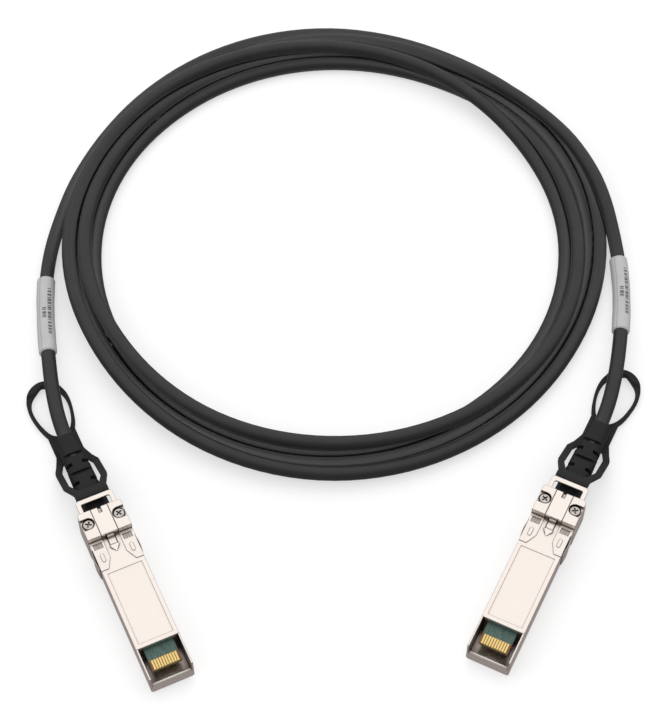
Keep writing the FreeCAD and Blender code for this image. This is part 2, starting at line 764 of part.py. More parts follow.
def cable_coil():
    """Outer shape of the coiled turns: a ring with rounded edges, wider at the far side."""
    ring = coil_disc(coil_outer_radius, coil_outer_centre, 0, coil_height)
    ring = ring.cut(coil_disc(coil_inner_radius, coil_inner_centre, -1, coil_height + 1))
    rims = [edge for edge in ring.Edges if edge.isClosed()]
    return ring.makeFillet(coil_round, rims)


# --- Assembly ---
plug_pieces = {
    "base_shell": base_shell, "cover_shell": cover_shell, "cover_screws": cover_screws,
    "emi_collar": emi_collar, "latch_slider": latch_slider, "return_spring": return_spring,
    "pull_tab": pull_tab, "paddle_card": paddle_card, "contact_pads": contact_pads,
    "card_components": card_components, "signal_pairs": signal_pairs, "conductors": conductors,
    "crimp_ferrule": crimp_ferrule, "strain_boot": strain_boot}
legs = {"a": (plug_a_place, plug_a_turn, leg_a_route, label_a_start),
        "b": (plug_b_place, plug_b_turn, leg_b_route, label_b_start)}


def placed(shape, place, turn):
    copy = shape.copy()
    copy.rotate(Vector(0, 0, 0), Vector(0, 0, 1), turn)
    copy.translate(Vector(place[0], place[1], 0))
    return copy


def build():
    shapes = {}
    for name, make in plug_pieces.items():
        shape = make()
        for side, (place, turn, route, label_start) in legs.items():
            shapes[name + "_" + side] = placed(shape, place, turn)
    plugs = Part.makeCompound(list(shapes.values())).optimalBoundingBox(False, False)
    shapes["cable_coil"] = cable_coil()
    for side, (place, turn, route, label_start) in legs.items():
        points = leg_points(place, turn, route)
        wire, radii = tube_path(points)
        leg = sweep(wire, cable_radius)
        expected = math.pi * cable_radius ** 2 * wire.Length
        print("leg", side, "length", round(wire.Length, 1), "radii", [round(r) for r in radii],
              "volume ratio", round(leg.Volume / expected, 4))
        shapes["cable_leg_" + side] = leg
        shapes["label_sleeve_" + side] = label_sleeve(wire, label_start)
    to_origin = Vector(-plugs.Center.x, -plugs.Center.y, 0)
    for shape in shapes.values():
        shape.translate(to_origin)
    print("coil centre from the origin", round(to_origin.x, 3), round(to_origin.y, 3),
          "plugs' lowest point", round(plugs.ZMin, 3))
    return shapes


os.makedirs("parts", exist_ok=True)
for name, shape in build().items():
    if not shape.isValid():
        print("not valid:", name)
    shape.exportStep("parts/" + name + ".step")
    print(name, len(shape.Solids), "solids", round(shape.Volume, 2), "mm3")
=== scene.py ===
import json
import math
import bpy
import numpy as np
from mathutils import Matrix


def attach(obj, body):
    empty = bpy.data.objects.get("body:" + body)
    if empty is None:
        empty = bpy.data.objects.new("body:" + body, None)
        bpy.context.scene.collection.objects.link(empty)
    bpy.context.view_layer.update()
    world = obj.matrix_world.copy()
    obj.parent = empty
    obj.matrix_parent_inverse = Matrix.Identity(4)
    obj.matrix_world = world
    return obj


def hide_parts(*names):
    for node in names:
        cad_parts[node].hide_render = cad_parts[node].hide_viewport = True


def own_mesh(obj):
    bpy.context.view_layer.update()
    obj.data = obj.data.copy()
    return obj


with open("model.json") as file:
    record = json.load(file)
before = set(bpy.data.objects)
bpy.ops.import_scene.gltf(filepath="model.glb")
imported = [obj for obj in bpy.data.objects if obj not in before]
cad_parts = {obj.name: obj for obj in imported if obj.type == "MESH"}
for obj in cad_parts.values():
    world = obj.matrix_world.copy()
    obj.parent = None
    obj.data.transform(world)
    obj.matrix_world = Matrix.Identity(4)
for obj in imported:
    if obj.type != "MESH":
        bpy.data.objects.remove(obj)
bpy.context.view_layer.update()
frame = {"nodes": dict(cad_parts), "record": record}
cad = frame["nodes"]
scene = bpy.context.scene
mm = 0.001
print("frame loaded,", len(cad), "nodes")


# ---- where things lie, in millimetres ----
plugs = {
    "a": {"place": (-63.8, -115.4), "turn": 24.6},
    "b": {"place": (65.5, -110.5), "turn": -25.8},
}
coilCentre = (-1.426, 104.063)      # the plugs' places are measured from it


def plugPoint(side, x, y, z):
    # a point of one plug's own frame: turned by the plug's angle, then moved to its place and to
    # the coil's centre
    at, turn = plugs[side]["place"], math.radians(plugs[side]["turn"])
    return (coilCentre[0] + at[0] + x * math.cos(turn) - y * math.sin(turn),
            coilCentre[1] + at[1] + x * math.sin(turn) + y * math.cos(turn), z)


def coilPoint(x, y, z):
    return (coilCentre[0] + x, coilCentre[1] + y, z)


# ---- camera ----
cameraView = {
    "place": (0.31, -287.3, 538.6),
    "belowHorizon": 57.2,           # degrees
    "lens": 99.72,
    "sensor": 36,                   # along the longer side
    "clip": (0.01, 20),             # metres
}
cameraData = bpy.data.cameras.new("camera")
cameraData.lens = cameraView["lens"]
cameraData.sensor_width = cameraView["sensor"]
cameraData.clip_start, cameraData.clip_end = cameraView["clip"]
camera = bpy.data.objects.new("camera", cameraData)
camera.location = [v * mm for v in cameraView["place"]]
camera.rotation_euler = (math.radians(90 - cameraView["belowHorizon"]), 0, 0)
scene.collection.objects.link(camera)
scene.camera = camera


# ---- cable ----
cable = {
    "diameter": 4.6,
    "length": 2.5,                  # metres, legs included
    "socket": 35.0,                 # where it starts inside the boot
    "straight": 12.5,
    "exit": 43.0,                   # where it leaves the boot
    "axisHeight": 5.2,
    "profileSteps": 6,
    "stepsPerPoint": 5,
}
# each leg after its straight stretch, from the coil's centre
legRoutes = {
    "a": [(-87.2, -58.5, 5.2), (-89.6, -44.6, 4.7), (-91.6, -30.4, 3.8), (-92.8, -16.2, 3.0),
          (-92.2, -2.0, 2.6), (-89.6, 12.0, 2.4), (-85.8, 27.0, 2.3), (-77.0, 46.3, 2.3)],
    "b": [(90.3, -53.5, 5.2), (93.0, -39.2, 4.7), (94.8, -24.9, 3.8), (95.3, -10.4, 3.0),
          (94.3, 4.0, 2.9), (91.7, 17.8, 6.0), (87.3, 30.6, 7.1)],
}
# Centre line of the turns at every 30 degrees, clockwise from the left: distance from the
# coil's centre and height.  The first and the last turn are half ones, joined to the legs.
turnStep = 30
turnStart, turnEnd = 45, 4 * 360 + 150      # degrees
coilTurns = [
    {"radius": [91.0, 87.7, 91.7, 93.1, 90.3, 92.2, 89.4, 86.8, 87.4, 88.3, 86.5, 84.7],
     "height": [2.9, 2.3, 2.3, 2.3, 2.3, 2.3, 2.3, 2.3, 3.2, 4.2, 5.2, 6.4]},
    {"radius": [86.2, 85.5, 84.7, 82.8, 79.4, 78.4, 78.0, 77.6, 78.6, 79.3, 79.0, 78.2],
     "height": [6.2, 6.8, 7.0, 7.2, 6.9, 3.2, 2.3, 2.3, 2.3, 2.3, 2.3, 2.3]},
    {"radius": [77.7, 78.0, 78.5, 79.1, 80.2, 81.9, 81.7, 82.3, 80.2, 78.7, 78.4, 78.1],
     "height": [2.3, 2.3, 2.3, 2.3, 2.3, 4.2, 5.8, 6.9, 6.9, 6.9, 6.9, 6.9]},
    {"radius": [81.2, 80.8, 82.7, 83.6, 84.8, 87.6, 84.9, 82.2, 82.8, 83.9, 83.2, 82.4],
     "height": [6.7, 5.4, 3.0, 2.3, 2.3, 2.3, 2.3, 2.3, 2.3, 2.3, 2.3, 2.3]},
    {"radius": [82.8, 84.6, 87.2, 87.2, 85.3, 90.8],
     "height": [2.3, 2.3, 2.4, 6.0, 6.7, 6.8]},
]


def halved(values):
    # twice as many values: between v1 and v2 goes (9 (v1 + v2) - v0 - v3) / 16
    v = np.concatenate([values[:1], values, values[-1:]])
    middle = (9 * (v[1:-2] + v[2:-1]) - v[:-3] - v[3:]) / 16
    out = np.empty(2 * len(values) - 1)
    out[0::2], out[1::2] = values, middle
    return out


def settledTurns(passes=40, ease=0.01):
    # Turns as distance r and height z against angle.  Wherever two turns are nearer than a diameter d,
    # each backs off by a quarter of (d - distance) along the line between them; every value then
    # moves by the share "ease" towards its neighbours' mean, and z stays at or above d / 2.
    d = cable["diameter"]
    r = halved(np.concatenate([t["radius"] for t in coilTurns]))
    z = halved(np.concatenate([t["height"] for t in coilTurns]))
    perTurn = 2 * 360 // turnStep
    for _ in range(passes):
        shiftR, shiftZ = np.zeros_like(r), np.zeros_like(z)
        for k in range(1, len(coilTurns)):
            lag = k * perTurn
            dr, dz = r[lag:] - r[:-lag], z[lag:] - z[:-lag]
            gap = np.maximum(np.hypot(dr, dz), 1e-3)
            push = np.clip(d - gap, 0, None) / 4
            shiftR[lag:] += push * dr / gap
            shiftR[:-lag] -= push * dr / gap
            shiftZ[lag:] += push * dz / gap
            shiftZ[:-lag] -= push * dz / gap
        r, z = r + shiftR, z + shiftZ
        r[1:-1] += ease * ((r[2:] + r[:-2]) / 2 - r[1:-1])
        z[1:-1] += ease * ((z[2:] + z[:-2]) / 2 - z[1:-1])
        z = np.clip(z, d / 2, None)
    angle = np.arange(len(r)) * turnStep / 2
    return angle, r, z


def cableRoute():
    # one route: leg a out of its boot, the turns, then leg b back to its boot
    def legStart(side):
        return [plugPoint(side, 0, cable["socket"], cable["axisHeight"]),
                plugPoint(side, 0, cable["socket"] + cable["straight"], cable["axisHeight"])]
    angle, r, z = settledTurns()
    used = (angle >= turnStart) & (angle <= turnEnd)
    angle, r, z = np.radians(angle[used]), r[used], z[used]
    # a spline of order 3 runs inside its control points by this share of their distance
    inside = 0.75 + 0.25 * math.cos(math.radians(turnStep / 2))
    turns = np.stack([coilCentre[0] - r / inside * np.cos(angle),
                      coilCentre[1] + r / inside * np.sin(angle), z], 1)
    points = legStart("a") + [coilPoint(*p) for p in legRoutes["a"]]
    points += [tuple(p) for p in turns]
    points += [coilPoint(*p) for p in reversed(legRoutes["b"])] + legStart("b")[::-1]
    return np.array(points) * mm


def addCable(points):
    data = bpy.data.curves.new("cable", "CURVE")
    data.dimensions = "3D"
    data.bevel_depth = 1            # times each point's radius, which the curve's box is padded by as well
    data.bevel_resolution = cable["profileSteps"]
    data.resolution_u = cable["stepsPerPoint"]
    data.use_fill_caps = True
    spline = data.splines.new("NURBS")
    spline.points.add(len(points) - 1)
    spline.points.foreach_set("co", np.column_stack([points, np.ones(len(points))]).ravel())
    spline.points.foreach_set("radius", np.full(len(points), cable["diameter"] / 2 * mm))
    spline.order_u = 3
    spline.use_endpoint_u = True
    piece = bpy.data.objects.new("cable", data)
    scene.collection.objects.link(piece)
    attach(piece, "cable_assembly")
    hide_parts("cable_coil", "cable_leg_a", "cable_leg_b")
    return piece


cablePiece = addCable(cableRoute())


def centreLine(piece):
    # the spline's own points: the curve without its bevel, as a mesh
    depth = piece.data.bevel_depth
    piece.data.bevel_depth = 0
    bare = bpy.data.meshes.new_from_object(piece)
    piece.data.bevel_depth = depth
    places = np.empty(len(bare.vertices) * 3)
    bare.vertices.foreach_get("co", places)
    bpy.data.meshes.remove(bare)
    return places.reshape(-1, 3)


line = centreLine(cablePiece)
lineLength = np.concatenate([[0], np.cumsum(np.linalg.norm(np.diff(line, axis=0), axis=1))])
print("cable length", round(lineLength[-1], 3), "m")


# ---- meshes from grids ----
def gridMesh(name, points):
    # points[i, j] is row i along the piece and place j round it; faces join neighbours
    rows, across = points.shape[:2]
    i, j = np.meshgrid(np.arange(rows - 1), np.arange(across), indexing="ij")
    k = (j + 1) % across
    faces = np.stack([i * across + j, i * across + k, (i + 1) * across + k, (i + 1) * across + j], -1)
    faces = faces.reshape(-1, 4).tolist()
    data = bpy.data.meshes.new(name)
    data.from_pydata(points.reshape(-1, 3).tolist(), [], faces)
    data.polygons.foreach_set("use_smooth", np.ones(len(faces), bool))
    data.update()
    piece = bpy.data.objects.new(name, data)
    scene.collection.objects.link(piece)
    return piece


# ---- label sleeves ----
sleeve = {
    "start": {"a": 41.0, "b": 45.0},    # along the cable from its end
    "length": 29.6,
    "radius": 2.95,
    "rim": 0.22,                        # length of the turned-in rim
    "rimDepth": 0.16,
    "endInside": 0.05,                  # how far each end sinks into the jacket
    "rows": 120,
    "around": 64,
    "overlap": 0.10,                    # height of the wrapped edge
    "wrapStart": 2.2,                   # radians round, where the edge rises
    "wrapRise": 0.16,
    "wrapEnd": 5.9,
    "wrapFall": 1.8,
    "waves": [(0.03, 9, 2, 0), (0.02, 23, -3, 1)],      # height, rate along, rate round, shift
}


def frames(centres):
    # across: the unit tangents crossed with up; out: across crossed with the tangents
    along = np.gradient(centres, axis=0)
    along /= np.linalg.norm(along, axis=1, keepdims=True)
    across = np.cross(along, [0, 0, 1])
    across /= np.linalg.norm(across, axis=1, keepdims=True)
    return across, np.cross(across, along)


def addSleeve(side):
    # P(s, a) = C(s) + R(s, a) (cos a across + sin a out).  R is the radius, less the overlap's
    # height where the film lies single, plus slight waves; a rim turns in to the jacket at each end.
    total = lineLength[-1]
    first = sleeve["start"][side] * mm
    s = first + np.linspace(0, sleeve["length"] * mm, sleeve["rows"])
    s = s if side == "a" else total - s
    centres = np.stack([np.interp(s, lineLength, line[:, k]) for k in range(3)], 1)
    across, out = frames(centres)
    a = np.linspace(0, 2 * np.pi, sleeve["around"], endpoint=False)
    t = np.linspace(0, 1, sleeve["rows"])[:, None]
    edge = np.minimum(t, 1 - t) * sleeve["length"]
    wrapped = np.clip((a[None] - sleeve["wrapStart"]) / sleeve["wrapRise"], 0, 1)
    wrapped = wrapped * np.clip((sleeve["wrapEnd"] - a[None]) / sleeve["wrapFall"], 0, 1)
    waves = sum(height * np.sin(rate * t + turns * a[None] + shift)
                for height, rate, turns, shift in sleeve["waves"])
    radius = sleeve["radius"] - sleeve["overlap"] + sleeve["overlap"] * wrapped + waves
    radius = radius - sleeve["rimDepth"] * np.exp(-(edge / sleeve["rim"]) ** 2)
    radius[0] = radius[-1] = cable["diameter"] / 2 - sleeve["endInside"]
    points = centres[:, None] + radius[..., None] * mm * (
        np.cos(a)[None, :, None] * across[:, None] + np.sin(a)[None, :, None] * out[:, None])
    piece = gridMesh("label_sleeve_skin_" + side, points)
    layer = piece.data.uv_layers.new(name="wrap")
    loops = np.empty(len(piece.data.loops), int)
    piece.data.loops.foreach_get("vertex_index", loops)
    # the faces that close the round run on from the last place to 1, not back to 0
    u, v = (loops % sleeve["around"]) / sleeve["around"], (loops // sleeve["around"]) / (sleeve["rows"] - 1)
    u = u.reshape(-1, 4)
    u = np.where((u.max(1, keepdims=True) > 0.9) & (u < 0.1), u + 1, u).ravel()
    layer.data.foreach_set("uv", np.stack([u, v], 1).ravel())
    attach(piece, "cable_assembly")
    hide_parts("label_sleeve_" + side)
    return piece


sleevePieces = {side: addSleeve(side) for side in plugs}
print("label sleeves done")


# ---- return springs ----
def addSpring(side):
    # the solid's own form, copied; the point that reaches furthest along the slider's pull is found but not
    # used
    node, name = "return_spring_" + side, "latch_" + side + "_pull"
    joint = next(j for j in frame["record"]["behaviour"]["joints"] if j["name"] == name)
    piece = bpy.data.objects.new("spring_wave_" + side, cad[node].data.copy())
    scene.collection.objects.link(piece)
    reach = np.array([np.dot(joint["axis"], v.co) for v in piece.data.vertices])
    farEnd = tuple(piece.data.vertices[int(reach.argmax())].co)
    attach(piece, "cable_assembly")
    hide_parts(node)
    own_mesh(piece)
    return piece


springPieces = {side: addSpring(side) for side in plugs}
print("return springs done")


# ---- shader groups ----
def nodeTree(material):
    material.use_nodes = True
    tree = material.node_tree
    return tree, tree.nodes["Principled BSDF"]


def place(tree, kind, settings=None, **inputs):
    node = tree.nodes.new(kind)
    for key, value in (settings or {}).items():
        setattr(node, key, value)
    for key, value in inputs.items():
        # i0, i1 and so on are places in the node's list, and other keys are its sockets' names
        numbered = key[0] == "i" and key[1:].isdigit()
        socket = node.inputs[int(key[1:]) if numbered else key.replace("_", " ")]
        if isinstance(value, bpy.types.NodeSocket):
            tree.links.new(value, socket)
        else:
            socket.default_value = value
    return node


def calculated(tree, operation, *values):
    inputs = {"i" + str(k): value for k, value in enumerate(values)}
    return place(tree, "ShaderNodeMath", {"operation": operation}, **inputs).outputs[0]


def mixed(tree, factor, first, second):
    settings = {"data_type": "RGBA"}
    return place(tree, "ShaderNodeMix", settings, Factor=factor, i6=first, i7=second).outputs[2]


def newGroup(name, inputs, outputs):
    group = bpy.data.node_groups.new(name, "ShaderNodeTree")
    for label, kind, value in inputs:
        socket = group.interface.new_socket(label, in_out="INPUT", socket_type=kind)
        if value is not None:
            socket.default_value = value
    for label, kind in outputs:
        group.interface.new_socket(label, in_out="OUTPUT", socket_type=kind)
    return group, group.nodes.new("NodeGroupInput"), group.nodes.new("NodeGroupOutput")


def useGroup(tree, group, **inputs):
    return place(tree, "ShaderNodeGroup", {"node_tree": group}, **inputs)


scuff = {
    "finer": 9.0,                       # times the slow noise's scale
    "edges": (0.35, 0.7),               # of the slow noise, where the mask goes from 0 to 1
    "slow": {"Detail": 3.0, "Roughness": 0.6},
    "fine": {"Detail": 4.0, "Roughness": 0.65},
}
edgeDots = (0.995, 0.8)                 # rounded normal times flat one, off an edge and on it
grainStretch = (1, 0.06, 1)
# shares of open sky between which a mask goes from 1 to 0
shutShares = {"gap": (0.5, 0.88), "wall": (0.55, 0.9)}
uprightHeights = (0.5, 0.2)             # of the normal, where a wall starts to count and fully counts


def makeScuffs():
    # clouds for wiped metal and moulded plastic: a slow noise times a fine one, as a mask from 0 to 1
    group, given, out = newGroup(
        "scuffs", [("Vector", "NodeSocketVector", None), ("Size", "NodeSocketFloat", 40.0)],
        [("Mask", "NodeSocketFloat"), ("Fine", "NodeSocketFloat")])
    slow = place(group, "ShaderNodeTexNoise", None, Vector=given.outputs["Vector"],
                 Scale=given.outputs["Size"], **scuff["slow"])
    faster = calculated(group, "MULTIPLY", given.outputs["Size"], scuff["finer"])
    fine = place(group, "ShaderNodeTexNoise", None, Vector=given.outputs["Vector"], Scale=faster,
                 **scuff["fine"])
    mask = place(group, "ShaderNodeMapRange", None, Value=slow.outputs["Fac"],
                 i1=scuff["edges"][0], i2=scuff["edges"][1])
    both = calculated(group, "MULTIPLY", mask.outputs[0], fine.outputs["Fac"])
    group.links.new(both, out.inputs["Mask"])
    group.links.new(fine.outputs["Fac"], out.inputs["Fine"])
    return group


def makeRoundedEdges():
    # normals rounded over the edges by a small radius, and a mask that is 1 on an edge
    group, given, out = newGroup(
        "roundedEdges", [("Radius", "NodeSocketFloat", 0.0002)],
        [("Normal", "NodeSocketVector"), ("Edge", "NodeSocketFloat")])
    soft = place(group, "ShaderNodeBevel", {"samples": 6}, Radius=given.outputs["Radius"])
    flat = place(group, "ShaderNodeNewGeometry")
    dot = place(group, "ShaderNodeVectorMath", {"operation": "DOT_PRODUCT"}, i0=soft.outputs[0],
                i1=flat.outputs["True Normal"])
    edge = place(group, "ShaderNodeMapRange", None, Value=dot.outputs["Value"],
                 i1=edgeDots[0], i2=edgeDots[1])
    group.links.new(soft.outputs[0], out.inputs["Normal"])
    group.links.new(edge.outputs[0], out.inputs["Edge"])
    return group


def makeGrain():
    # lines along the plug's length: a noise stretched along y, from 0 to 1
    group, given, out = newGroup(
        "grain", [("Vector", "NodeSocketVector", None), ("Size", "NodeSocketFloat", 6.0)],
        [("Height", "NodeSocketFloat")])
    drawn = place(group, "ShaderNodeMapping", None, Vector=given.outputs["Vector"], Scale=grainStretch)
    lines = place(group, "ShaderNodeTexNoise", None, Vector=drawn.outputs[0], Scale=given.outputs["Size"],
                  Detail=3.0, Roughness=0.55)
    group.links.new(lines.outputs["Fac"], out.inputs["Height"])
    return group


def makeCrevices():
    # how shut in a place is, from 0 to 1: in a narrow gap, on an upright wall above a ledge, and
    # deep inside its piece
    group, given, out = newGroup(
        "crevices", [("Near", "NodeSocketFloat", 0.0007), ("Step", "NodeSocketFloat", 0.0025),
                     ("Deep", "NodeSocketFloat", 0.006)],
        [("Gap", "NodeSocketFloat"), ("Wall", "NodeSocketFloat"), ("Hollow", "NodeSocketFloat")])

    def shutIn(distance, shares, local=False):
        settings = {"samples": 6, "only_local": local}
        light = place(group, "ShaderNodeAmbientOcclusion", settings, Distance=distance)
        return place(group, "ShaderNodeMapRange", None, Value=light.outputs["AO"],
                     i1=shares[1], i2=shares[0]).outputs[0]

    flat = place(group, "ShaderNodeNewGeometry")
    normal = place(group, "ShaderNodeSeparateXYZ", None, Vector=flat.outputs["True Normal"])
    steep = calculated(group, "ABSOLUTE", normal.outputs["Z"])
    upright = place(group, "ShaderNodeMapRange", None, Value=steep, i1=uprightHeights[0],
                    i2=uprightHeights[1])
    ledge = shutIn(given.outputs["Step"], shutShares["wall"])
    wall = calculated(group, "MULTIPLY", upright.outputs[0], ledge)
    group.links.new(shutIn(given.outputs["Near"], shutShares["gap"]), out.inputs["Gap"])
    group.links.new(wall, out.inputs["Wall"])
    group.links.new(shutIn(given.outputs["Deep"], shutShares["gap"], True), out.inputs["Hollow"])
    return group


# places on the shell's upper faces, in a plug's own coordinates and millimetres
topPlaces = {
    "windowAcross": 4.675,              # from the plug's middle to the middle of a pair of windows
    "windowStep": 0.75,                 # from there to each window's middle
    "windowAlong": 1.2,
    "windowHalfWidth": 0.6,
    "windowHalfLength": 0.9,
    "windowHeight": 10.0,
    "windowNearly": 0.05,               # how far from that height still counts
    "panelStart": -7.6,
    "panelHalf": 6.0,
    "panelAbove": 7.0,
}


def makeTopFace():
    # two places on the shell's upper faces, as masks: under the collar's four windows, and the
    # shallow label panel
    at = topPlaces
    group, given, out = newGroup(
        "topFace", [("Vector", "NodeSocketVector", None), ("Across", "NodeSocketFloat", at["windowAcross"]),
                    ("Step", "NodeSocketFloat", at["windowStep"]),
                    ("Along", "NodeSocketFloat", at["windowAlong"]),
                    ("Panel Start", "NodeSocketFloat", at["panelStart"]),
                    ("Panel Half", "NodeSocketFloat", at["panelHalf"])],
        [("Windows", "NodeSocketFloat"), ("Panel", "NodeSocketFloat")])
    parts = place(group, "ShaderNodeSeparateXYZ", None, Vector=given.outputs["Vector"])
    x, y, z = (parts.outputs[k] for k in "XYZ")
    fromMiddle = calculated(group, "ABSOLUTE", x)
    fromPair = calculated(group, "SUBTRACT", fromMiddle, given.outputs["Across"])
    aside = calculated(group, "ABSOLUTE", fromPair)
    inAcross = calculated(group, "COMPARE", aside, given.outputs["Step"], at["windowHalfWidth"])
    inAlong = calculated(group, "COMPARE", y, given.outputs["Along"], at["windowHalfLength"])
    onFace = calculated(group, "COMPARE", z, at["windowHeight"], at["windowNearly"])
    inWindow = calculated(group, "MULTIPLY", inAcross, inAlong)
    group.links.new(calculated(group, "MULTIPLY", inWindow, onFace), out.inputs["Windows"])
    inWidth = calculated(group, "LESS_THAN", fromMiddle, given.outputs["Panel Half"])
    inLength = calculated(group, "LESS_THAN", y, given.outputs["Panel Start"])
    inPanel = calculated(group, "MULTIPLY", inWidth, inLength)
    above = calculated(group, "GREATER_THAN", z, at["panelAbove"])
    group.links.new(calculated(group, "MULTIPLY", inPanel, above), out.inputs["Panel"])
    return group


scuffs = makeScuffs()
roundedEdges = makeRoundedEdges()
grain = makeGrain()
crevices = makeCrevices()
topFace = makeTopFace()


# ---- materials ----
def plugCoordinates(tree, side):
    # object coordinates turned into the plug's own frame, in millimetres
    where = place(tree, "ShaderNodeTexCoord")
    origin = plugPoint(side, 0, 0, 0)
    return place(tree, "ShaderNodeMapping", {"vector_type": "TEXTURE"}, Vector=where.outputs["Object"],
                 Location=[v * mm for v in origin], Rotation=(0, 0, math.radians(plugs[side]["turn"])),
                 Scale=(mm, mm, mm)).outputs[0]


marksRange = (0.3, 0.7)                 # of the scuffs' fine noise


def roughen(tree, surface, marks, span):
    # spreads the fine marks over a finish's span of roughness
    rough = place(tree, "ShaderNodeMapRange", None, Value=marks.outputs["Fine"],
                  i1=marksRange[0], i2=marksRange[1], i3=span[0], i4=span[1])
    tree.links.new(rough.outputs[0], surface.inputs["Roughness"])


bumpDepths = {"metal": 0.00005, "plastic": 0.00004, "film": 0.00005, "fine": 0.00003}      # metres


def bumped(tree, height, strength, kind, **normal):
    return place(tree, "ShaderNodeBump", None, Height=height, Strength=strength,
                 Distance=bumpDepths[kind], **normal).outputs[0]


# Painted shade per finish: line along every edge, wall on upright walls above a ledge, hollow deep inside a
# piece, and the gap colour in narrow gaps between parts.
metals = {
    "cast": {"color": (0.97, 0.885, 0.82, 1), "worn": (0.94, 0.855, 0.79, 1),
             "gapShade": (0.09, 0.07, 0.06, 1), "line": (0.24, 0.20, 0.185, 1),
             "wall": (0.30, 0.255, 0.235, 1), "hollow": (0.16, 0.13, 0.115, 1),
             "roughness": (0.26, 0.36), "bump": 0.06, "grainBump": 0.03, "edge": 0.00036, "size": 0.16,
             "grain": 4.0, "gap": 0.0007},
    "slider": {"color": (0.98, 0.895, 0.83, 1), "worn": (0.94, 0.86, 0.80, 1), "gapShade": (0.10, 0.08, 0.07, 1),
               "line": (0.22, 0.185, 0.17, 1), "wall": (0.30, 0.26, 0.24, 1), "hollow": (0.50, 0.45, 0.42, 1),
               "roughness": (0.20, 0.30), "bump": 0.04, "grainBump": 0.06, "edge": 0.00034, "size": 0.2,
               "grain": 7.0, "gap": 0.0006},
    "sheet": {"color": (0.96, 0.88, 0.82, 1), "worn": (0.91, 0.83, 0.775, 1), "gapShade": (0.12, 0.10, 0.09, 1),
              "line": (0.20, 0.17, 0.16, 1), "wall": (0.35, 0.31, 0.29, 1), "hollow": (0.50, 0.45, 0.42, 1),
              "roughness": (0.20, 0.32), "bump": 0.04, "grainBump": 0.05, "edge": 0.00022, "size": 0.25,
              "grain": 8.0, "gap": 0.0005},
    "screw": {"color": (0.66, 0.61, 0.57, 1), "worn": (0.44, 0.40, 0.37, 1), "gapShade": (0.06, 0.05, 0.045, 1),
              "line": (0.30, 0.26, 0.24, 1), "wall": (0.12, 0.10, 0.09, 1), "hollow": (0.14, 0.12, 0.11, 1),
              "roughness": (0.16, 0.34), "bump": 0.06, "grainBump": 0.0, "edge": 0.00014, "size": 0.5,
              "grain": 5.0, "gap": 0.0005},
}
# painted shade on the shell where it lies under the collar's windows
windowShade = (0.53, 0.488, 0.455, 1)
# paler painted edge shade on the label panel
panelEdgeShade = (0.80, 0.71, 0.65, 1)


def metalMaterial(finish, side):
    values = metals[finish]
    material = bpy.data.materials.new(finish + "_" + side)
    tree, surface = nodeTree(material)
    surface.inputs["Metallic"].default_value = 1.0
    local = plugCoordinates(tree, side)
    marks = useGroup(tree, scuffs, Vector=local, Size=values["size"])
    drawn = useGroup(tree, grain, Vector=local, Size=values["grain"])
    edges = useGroup(tree, roundedEdges, Radius=values["edge"])
    shut = useGroup(tree, crevices, Near=values["gap"])
    tone = mixed(tree, marks.outputs["Mask"], values["color"], values["worn"])
    # painted shade along every edge, paler on the label panel
    edgeShade = values["line"]
    if finish == "cast":
        top = useGroup(tree, topFace, Vector=local)
        edgeShade = mixed(tree, top.outputs["Panel"], edgeShade, panelEdgeShade)
        # painted shade on the shell under the collar's windows
        tone = mixed(tree, top.outputs["Windows"], tone, windowShade)
    tone = mixed(tree, edges.outputs["Edge"], tone, edgeShade)
    # painted shade deep inside the piece, on upright walls above a ledge, and in narrow gaps
    tone = mixed(tree, shut.outputs["Hollow"], tone, values["hollow"])
    tone = mixed(tree, shut.outputs["Wall"], tone, values["wall"])
    tone = mixed(tree, shut.outputs["Gap"], tone, values["gapShade"])
    tree.links.new(tone, surface.inputs["Base Color"])
    roughen(tree, surface, marks, values["roughness"])
    pitted = bumped(tree, marks.outputs["Fine"], values["bump"], "metal", Normal=edges.outputs["Normal"])
    drawnOut = bumped(tree, drawn.outputs["Height"], values["grainBump"], "metal", Normal=pitted)
    tree.links.new(drawnOut, surface.inputs["Normal"])
    return material


blacks = {
    "tab": {"color": (0.008, 0.008, 0.0085, 1), "pale": (0.014, 0.014, 0.015, 1), "roughness": (0.42, 0.60),
            "shine": 0.28, "bump": 0.25, "size": 0.5, "edge": 0.00025},
    "boot": {"color": (0.009, 0.009, 0.0095, 1), "pale": (0.015, 0.015, 0.016, 1), "roughness": (0.50, 0.68),
             "shine": 0.28, "bump": 0.3, "size": 0.4, "edge": 0.0003},
    "component": {"color": (0.02, 0.02, 0.02, 1), "pale": (0.05, 0.05, 0.05, 1), "roughness": (0.4, 0.6),
                  "shine": 0.5, "bump": 0.2, "size": 1.0, "edge": 0.00005},
}
# painted shade in narrow gaps between black parts
blackGapShade = {"near": 0.0006, "color": (0.003, 0.003, 0.003, 1)}


def blackMaterial(finish, side):
    values = blacks[finish]
    material = bpy.data.materials.new(finish + "_" + side)
    tree, surface = nodeTree(material)
    surface.inputs["Specular IOR Level"].default_value = values["shine"]
    local = plugCoordinates(tree, side)
    marks = useGroup(tree, scuffs, Vector=local, Size=values["size"])
    edges = useGroup(tree, roundedEdges, Radius=values["edge"])
    shut = useGroup(tree, crevices, Near=blackGapShade["near"])
    tone = mixed(tree, marks.outputs["Mask"], values["color"], values["pale"])
    # painted shade in narrow gaps
    tone = mixed(tree, shut.outputs["Gap"], tone, blackGapShade["color"])
    tree.links.new(tone, surface.inputs["Base Color"])
    roughen(tree, surface, marks, values["roughness"])
    bump = bumped(tree, marks.outputs["Fine"], values["bump"], "plastic", Normal=edges.outputs["Normal"])
    tree.links.new(bump, surface.inputs["Normal"])
    return material


